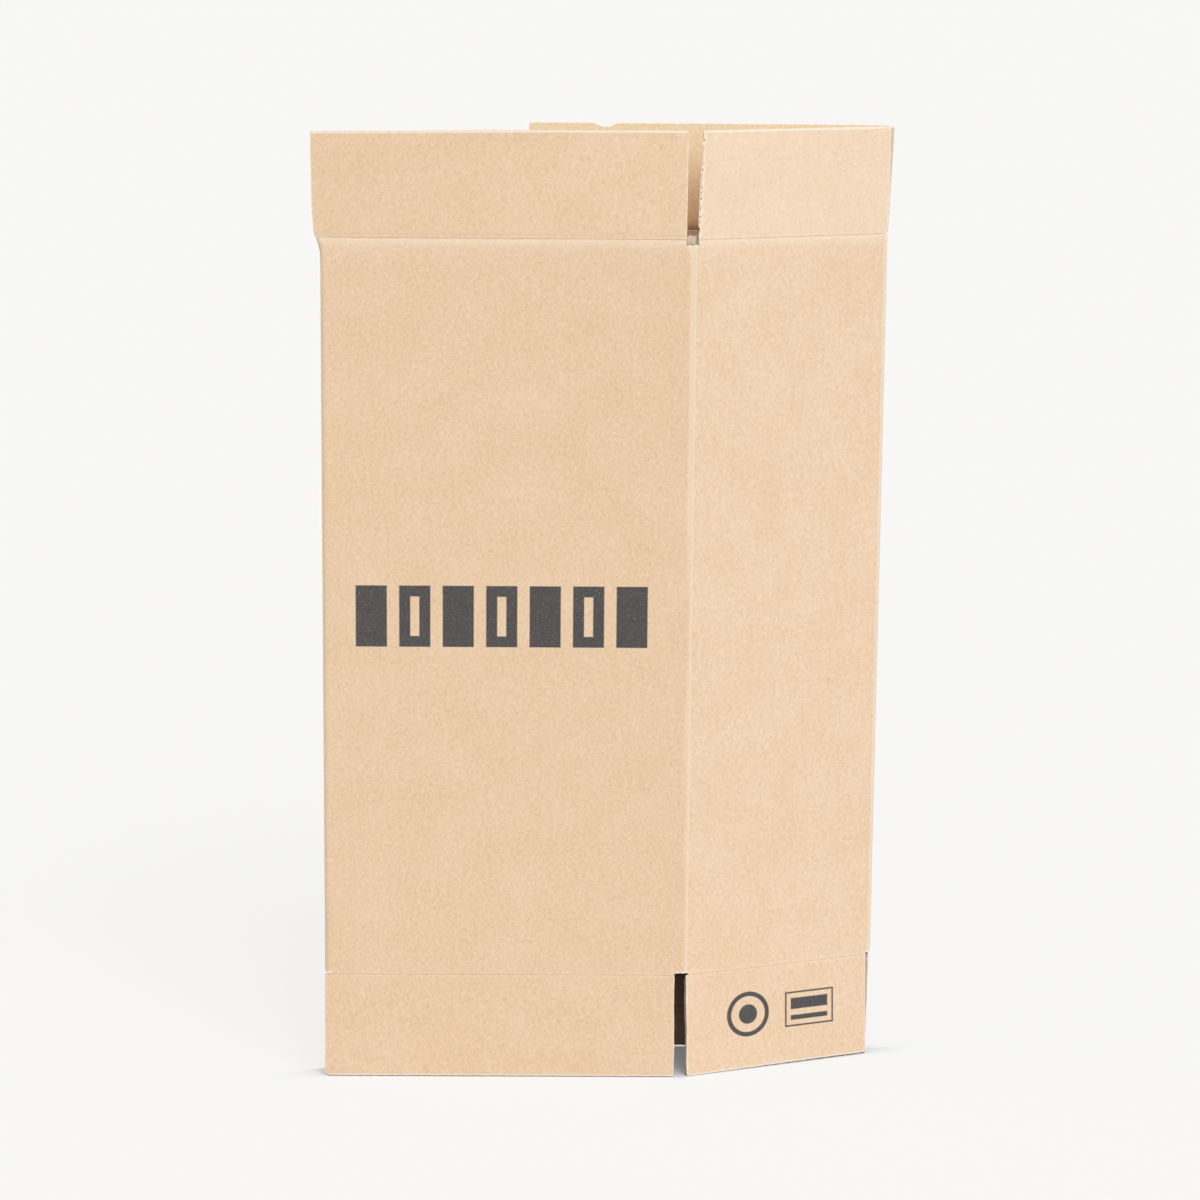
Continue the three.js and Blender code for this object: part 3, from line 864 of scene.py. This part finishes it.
def liner_cuts(h, spec, columns):
    """Raw edges of a liner: the free edge, both sides, and frayed paper beside torn sides."""
    rows = len(h)
    cut = np.zeros((2 * rows, columns))
    cut[rows - 1:rows + 1] = FREE_CUT
    cut[:, [0, -1]] = SIDE_CUT
    frayed = 0.5 + 0.5 * wander(h[:, 0], FRAY_WAVE, spec["seed"] + 31)
    frayed = np.concatenate([frayed, frayed[::-1]])
    cut[:, 1] = np.clip(spec["torn_left"] * 2.4 * frayed, 0, 1)
    cut[:, 2] = np.clip(spec["torn_left"] * 1.4 * frayed, 0, 0.7)
    cut[:, -2] = np.clip(spec["torn_right"] * 1.6, 0, 0.8)
    cut[rows - 2] = 0.6
    return cut


def flap_looks(u, h, spec, kind):
    """Cut, painted highlight and painted shade of one flap sheet, out along it and back."""
    rows, columns = u.shape
    # painted light: a flap's pale value makes all of it paler
    worn = np.full((2 * rows, columns), spec["pale"])
    shade = np.ones((2 * rows, columns))
    if kind == "wave":
        cut = np.full((2 * rows, columns), WAVE_CUT)
        cut[rows - 1:rows + 1] = SIDE_CUT
    else:
        cut = liner_cuts(h, spec, columns)
    if kind == "outer":
        # painted highlight along the crease
        worn[:rows] += 0.3 * bump(h, 0.4, 0.8)
        return cut, worn, shade
    # painted shade: darker near the crease, and near the first end where dim_end is set
    dim = 1 - CREASE_DIM * bump(h, 0, 1.2)
    dim = dim - spec["dim_end"] * np.exp(-(u - u[:, :1]) / END_DIM_WIDTH)
    shade = np.concatenate([dim, dim[::-1]])
    if not spec["top"]:
        # painted shadow: a lower flap's inner sheets are darker, darkest at the free edge
        shade *= FOOT_INNER_SHADE
        shade[rows - 2:rows + 2] = FOOT_EDGE_SHADE
        cut[rows - 2:rows + 2] = 0.0
    return cut, worn, shade


# %% Three sheets
WAVE_HALF, WAVE_ROOM, WAVE_SHORT = 0.14, 0.16, 0.12


def closed_sheet(near, far, u, h, spec, kind):
    """Two grids of distances closed into a loop of rows: out along one, back along the other.

    Only the near face of the outer sheet lies on the printed side of the flat sheet.
    """
    place = np.concatenate([settle(u, h, near, spec), settle(u, h, far, spec)[::-1]])
    level = TOP + h if spec["top"] else BASE - h
    flat = np.stack([PANELS[spec["panel"]][3] + u, level], -1)
    sheet = np.concatenate([flat, flat[::-1]])
    sheet[len(u) if kind == "outer" else 0:, :, 0] += INNER_SHEET
    cut, worn, shade = flap_looks(u, h, spec, kind)
    return {"place": place, "sheet": sheet, "cut": cut, "worn": np.clip(worn, 0, 1),
            "shade": shade}


def make_flap(name, spec):
    """Outer liner, inner liner and the wave between them, as three closed sheets."""
    scale = spec["edge"] / FLAP
    u, h = flap_grid(spec, LINER_STEP, spec["rows"] * scale, "outer")
    outer, _ = board_faces(u, h, spec)
    layers = [closed_sheet(outer, outer - LINER, u, h, spec, "outer")]
    u, h = flap_grid(spec, LINER_STEP, ROW_LIST * scale, "inner", spec["mitre"])
    _, inner = board_faces(u, h, spec)
    layers.append(closed_sheet(inner + LINER, inner, u, h, spec, "inner"))
    u, h = flap_grid(spec, WAVE_STEP, ROW_LIST[WAVE_ROWS] * scale, "wave", 0.5 * spec["mitre"])
    outer, inner = board_faces(u, h, spec)
    room = np.clip((outer - inner) / 2 - LINER - WAVE_ROOM, 0.0, None)
    wave = (outer + inner) / 2 + room * np.cos(2 * math.pi * u / PITCH)
    h = np.minimum(h, h[-1:] - WAVE_SHORT)
    layers.append(closed_sheet(wave + WAVE_HALF, wave - WAVE_HALF, u, h, spec, "wave"))
    return make_piece("board_" + name, layers, name.replace("_flap", ""), name, spec["shade"])


# %% [markdown]
# ## Eight flaps
# Each flap's numbers say which wall carries it, where it begins and ends along that wall,
# how far it leans out, and what its side lines do. The front upper flap stands proud of the
# glued corner, tapers in to the crease and is twisted. The right one has a torn side, the
# rear one flares and has a small dent in its edge, and the front lower one has a rounded
# corner. The lower flaps just reach the floor.

# %% Side lines and edges
FRONT_FOOT_LEAN = 3.8
CORNER_ROUND = 2.5
FLARE = 2.5
DENT_AT, DENT_HALF, DENT_DEEP = 140.3, 5.8, 2.0
END_WORN, END_WORN_FROM, END_WORN_WIDTH = 1.6, -5.5, 3.0


def no_line(x):
    """A straight side or edge: nothing is added."""
    return np.zeros_like(x)


def foot_edge(lean):
    """Length that lets a leaning lower flap's inner face just reach the floor."""
    a = math.radians(lean)
    return (FLAP - BOARD * math.sin(a)) / math.cos(a)


def proud_left(h):
    """The front upper flap's left side: from the crease it moves out and then runs straight."""
    return 1.1 * np.exp(-np.clip(h, 0, None) / 7.0)


def round_corner(h):
    """A quarter circle of 2.5 mm radius at the free end of the front lower flap."""
    past = np.clip(h - (foot_edge(FRONT_FOOT_LEAN) - CORNER_ROUND), 0, CORNER_ROUND)
    return CORNER_ROUND - np.sqrt(np.clip(CORNER_ROUND ** 2 - past ** 2, 0.01, None))


def flared(h):
    """The rear upper flap's side at the tight fold: it flares outward by 2.5 mm."""
    return -FLARE * np.clip(h, 0, None) / FLAP


def dent(u):
    """Half a cosine wave 11.6 mm wide and 2 mm deep, and an end that is rubbed down."""
    from_middle = u - DENT_AT
    arch = np.clip(np.cos(from_middle / DENT_HALF * math.pi / 2), 0, None)
    arch = arch * (np.abs(from_middle) < DENT_HALF) * (1 + 0.12 * np.sin(u * 2.1))
    worn_end = END_WORN * np.exp(-np.clip(u - END_WORN_FROM, 0, None) / END_WORN_WIDTH)
    return DENT_DEEP * arch + worn_end


def short_end(h):
    """The right upper flap's far side falls back by 1.8 mm in its upper half."""
    return -1.8 * np.clip((h - 22.0) / 32.0, 0, 1)


def crushed_front(u):
    """The front lower flap's outer paper stops 0.3 mm above the floor."""
    return np.full_like(u, 0.3)


def crushed_right(u):
    """The right lower flap's outer paper stops up to 0.8 mm above the floor at its far end."""
    return 0.1 + 0.7 * np.clip(u / 80.0, 0, 1)


def low_left(u):
    """The front upper flap's edge is rubbed down by 0.7 mm at its left end."""
    return 0.7 * np.clip(1 - u / 100.0, 0, 1)


print("length of the front lower flap, mm:", round(foot_edge(FRONT_FOOT_LEAN), 2))

# %% Flap table


def flap(panel, top, start, end, lean, seed, **more):
    """One row of the flap table, with plain values where nothing special is said."""
    spec = {"panel": panel, "top": top, "start": start, "end": end, "lean": lean,
            "seed": seed, "edge": FLAP if top else foot_edge(lean), "wash": 0.03,
            "torn_left": 0.12, "torn_right": 0.12, "groove": 0.2 if top else 0.08,
            "twist": 0.0, "left_line": no_line, "right_line": no_line,
            "dent": no_line, "mitre": 0.0, "rows": ROW_LIST, "shade": 1.0, "pale": 0.0,
            "dim_end": 0.0, "raised": no_line}
    spec.update(more)
    return spec


# A flap's shade is painted light above 1 and painted shade below 1; its pale is painted light.
FLAPS = {
    "top_front_flap": flap("front", True, -6.6, LENGTH - 4.2, 8.0, 1, wash=0.025, twist=-5.0,
                           left_line=proud_left, torn_left=0.08, dent=low_left,
                           shade=1.06),
    "top_right_flap": flap("right", True, 1.0, WIDTH + 1.6, 5.0, 2, wash=0.09, torn_left=0.5,
                           groove=0.1, mitre=2.6, rows=FINE_ROWS, shade=1.07, pale=0.4,
                           right_line=short_end),
    "top_rear_flap": flap("rear", True, -3.0, LENGTH - 4.2, 5.0, 3, left_line=flared,
                          torn_left=0.03, dent=dent, shade=1.08, pale=0.2, dim_end=0.22),
    "top_left_flap": flap("left", True, 1.0, LEFT - 4.0, 28.0, 4),
    "bottom_front_flap": flap("front", False, -2.9, LENGTH - 5.5, FRONT_FOOT_LEAN, 5,
                              wash=0.02, left_line=round_corner, torn_left=0.05, shade=0.96,
                              raised=crushed_front),
    "bottom_right_flap": flap("right", False, -0.5, WIDTH - 1.0, 2.9, 6, wash=0.04,
                              torn_left=0.2, shade=1.01, raised=crushed_right),
    "bottom_rear_flap": flap("rear", False, -2.0, LENGTH - 5.5, 7.5, 7),
    "bottom_left_flap": flap("left", False, -0.5, LEFT - 4.0, 3.0, 8),
}
for flap_name, spec in FLAPS.items():
    make_flap(flap_name, spec)

# %% [markdown]
# ## Camera
# The camera stands 1.8 m in front of the box and looks down by 11.7 degrees through a long
# lens. Its place and its small roll were found from the box's own edges.

# %% Camera
FOCAL_PIXELS, FRAME_PIXELS, SENSOR = 3613.47, 1200, 36.0
CAMERA_AT = np.array([110.2248 + SHIFT[0], -1789.8128 + SHIFT[1], 621.2661])
YAW, PITCH_DOWN, ROLL = map(math.radians, (0.86936, 11.68552, 0.50519))


def camera_axes():
    """Right, up and backward directions from the yaw, the downward pitch and the roll."""
    level = np.array([math.sin(YAW), math.cos(YAW), 0.0])
    right = np.array([math.cos(YAW), -math.sin(YAW), 0.0])
    upright = np.array([0.0, 0.0, 1.0])
    up = level * math.sin(PITCH_DOWN) + upright * math.cos(PITCH_DOWN)
    forward = level * math.cos(PITCH_DOWN) - upright * math.sin(PITCH_DOWN)
    c, s = math.cos(ROLL), math.sin(ROLL)
    return c * right + s * up, c * up - s * right, -forward


camera_data = bpy.data.cameras.new("camera")
camera_data.sensor_width = SENSOR
camera_data.lens = FOCAL_PIXELS / FRAME_PIXELS * SENSOR
camera = bpy.data.objects.new("camera", camera_data)
bpy.context.scene.collection.objects.link(camera)
turned = np.eye(4)
turned[:3, :3] = np.stack(camera_axes(), axis=1)
turned[:3, 3] = CAMERA_AT * MM
camera.matrix_world = Matrix(turned)
bpy.context.scene.camera = camera
print("lens, mm:", round(camera_data.lens, 2))

# %% [markdown]
# ## Floor and light
# A studio with a pale floor that runs out of the picture on every side. White light from all
# round does half of the work. Three suns with wide discs do the rest: a key from above the
# front, a bluish fill from the low right that makes the side wall a little brighter than the
# front one, and a weak one on the left corner. The levels are chosen so that a colour
# renders about as it is written.

# %% Floor
PAPER = rgb(248, 247, 245)
FLOOR_BOUNCE = (0.55, 0.545, 0.53, 1.0)
FLAT_SHARE, FLAT_SHARE_INSIDE = 0.80, 0.12
FLOOR_LIT = 1.01
FEET_SIDE, FEET_FRONT, FEET_BACK = 17.0, 7.0, 3.0
FLOOR_HALF = 60.0


def inside_plan(tree):
    """1 on the floor under the box, out to the feet of its flaps, and 0 from 4 mm outside.

    With x and y along the front wall and away from it, the side walls are the lines
    x - y / tan(OPEN) = constant, so the plan is a rectangle in these slanted coordinates.
    """
    split = tree.nodes.new("ShaderNodeSeparateXYZ")
    place = tree.nodes.new("ShaderNodeTexCoord").outputs["Object"]
    tree.links.new(place, split.inputs[0])
    x, y = split.outputs[0], split.outputs[1]
    slant = math_node(tree, "SUBTRACT", x, math_node(
        tree, "MULTIPLY", math_node(tree, "SUBTRACT", y, SHIFT[1] * MM), 1 / math.tan(OPEN)))
    rear = WIDTH * math.sin(OPEN)
    centre = (SHIFT[0] + LENGTH / 2, SHIFT[1] + (rear + FEET_BACK - FEET_FRONT) / 2)
    half = (LENGTH / 2 + FEET_SIDE, (rear + FEET_BACK + FEET_FRONT) / 2)
    away = bar(tree, slant, y, centre, half)
    return ramp(tree, away, 0.004, 0.001)


def floor_material():
    """Pale matt floor that throws back about half of the light that falls on it.

    For the camera it is mostly one plain colour, with a share of the lit floor mixed in,
    so that the box's shadow stays and stays faint.
    """
    m = bpy.data.materials.new("studio_floor")
    m.use_nodes = True
    tree = m.node_tree
    shader = tree.nodes["Principled BSDF"]
    ray = tree.nodes.new("ShaderNodeLightPath").outputs["Is Camera Ray"]
    seen = tuple(c * FLOOR_LIT for c in PAPER[:3]) + (1.0,)
    tree.links.new(mix_colour(tree, ray, FLOOR_BOUNCE, seen), shader.inputs["Base Color"])
    shader.inputs["Roughness"].default_value = 1.0
    shader.inputs["Specular IOR Level"].default_value = 0.0
    plain = tree.nodes.new("ShaderNodeEmission")
    plain.inputs["Color"].default_value = PAPER
    mix = tree.nodes.new("ShaderNodeMixShader")
    share = math_node(tree, "SUBTRACT", FLAT_SHARE, math_node(
        tree, "MULTIPLY", inside_plan(tree), FLAT_SHARE - FLAT_SHARE_INSIDE))
    tree.links.new(math_node(tree, "MULTIPLY", ray, share), mix.inputs[0])
    tree.links.new(shader.outputs[0], mix.inputs[1])
    tree.links.new(plain.outputs[0], mix.inputs[2])
    tree.links.new(mix.outputs[0], tree.nodes["Material Output"].inputs["Surface"])
    return m


def make_floor(reach):
    """A flat square floor of the given half size at the box's feet."""
    mesh = bpy.data.meshes.new("floor")
    mesh.from_pydata([(-reach, -reach, 0), (reach, -reach, 0), (reach, reach, 0),
                      (-reach, reach, 0)], [], [(0, 1, 2, 3)])
    floor = bpy.data.objects.new("floor", mesh)
    bpy.context.scene.collection.objects.link(floor)
    floor.data.materials.append(floor_material())


make_floor(FLOOR_HALF)
print("the floor reaches", FLOOR_HALF, "m each way")

# %% Light
SKY = 0.605
SUNS = {
    "key": ((0.295, -0.731, 0.616), 1.60, 50, (1.0, 1.0, 1.0)),
    "fill": ((0.98, -0.17, 0.09), 1.15, 60, (0.30, 0.66, 1.16)),
    "left": ((-0.90, -0.30, 0.25), 0.60, 60, (1.0, 0.98, 0.95)),
}


def make_sky():
    """Even white light from all round, and the same pale colour behind for the camera."""
    world = bpy.data.worlds.new("studio")
    world.use_nodes = True
    bpy.context.scene.world = world
    tree = world.node_tree
    back = tree.nodes["Background"]
    back.inputs["Color"].default_value = (1.0, 1.0, 1.0, 1.0)
    back.inputs["Strength"].default_value = SKY
    seen = tree.nodes.new("ShaderNodeBackground")
    seen.inputs["Color"].default_value = PAPER
    seen.inputs["Strength"].default_value = 1.0
    mix = tree.nodes.new("ShaderNodeMixShader")
    ray = tree.nodes.new("ShaderNodeLightPath").outputs["Is Camera Ray"]
    tree.links.new(ray, mix.inputs[0])
    tree.links.new(back.outputs[0], mix.inputs[1])
    tree.links.new(seen.outputs[0], mix.inputs[2])
    tree.links.new(mix.outputs[0], tree.nodes["World Output"].inputs["Surface"])


def make_sun(name, toward, energy, width, colour):
    """A sun that stands in the given direction, with a wide disc for soft shadows."""
    data = bpy.data.lights.new(name, "SUN")
    data.energy = energy
    data.angle = math.radians(width)
    data.color = colour
    sun = bpy.data.objects.new(name, data)
    bpy.context.scene.collection.objects.link(sun)
    sun.rotation_euler = Vector(toward).to_track_quat("Z", "Y").to_euler()


make_sky()
for name, (toward, energy, width, colour) in SUNS.items():
    make_sun(name, toward, energy, width, colour)
bpy.context.scene.view_settings.view_transform = "Standard"
print("lights:", ", ".join(SUNS))
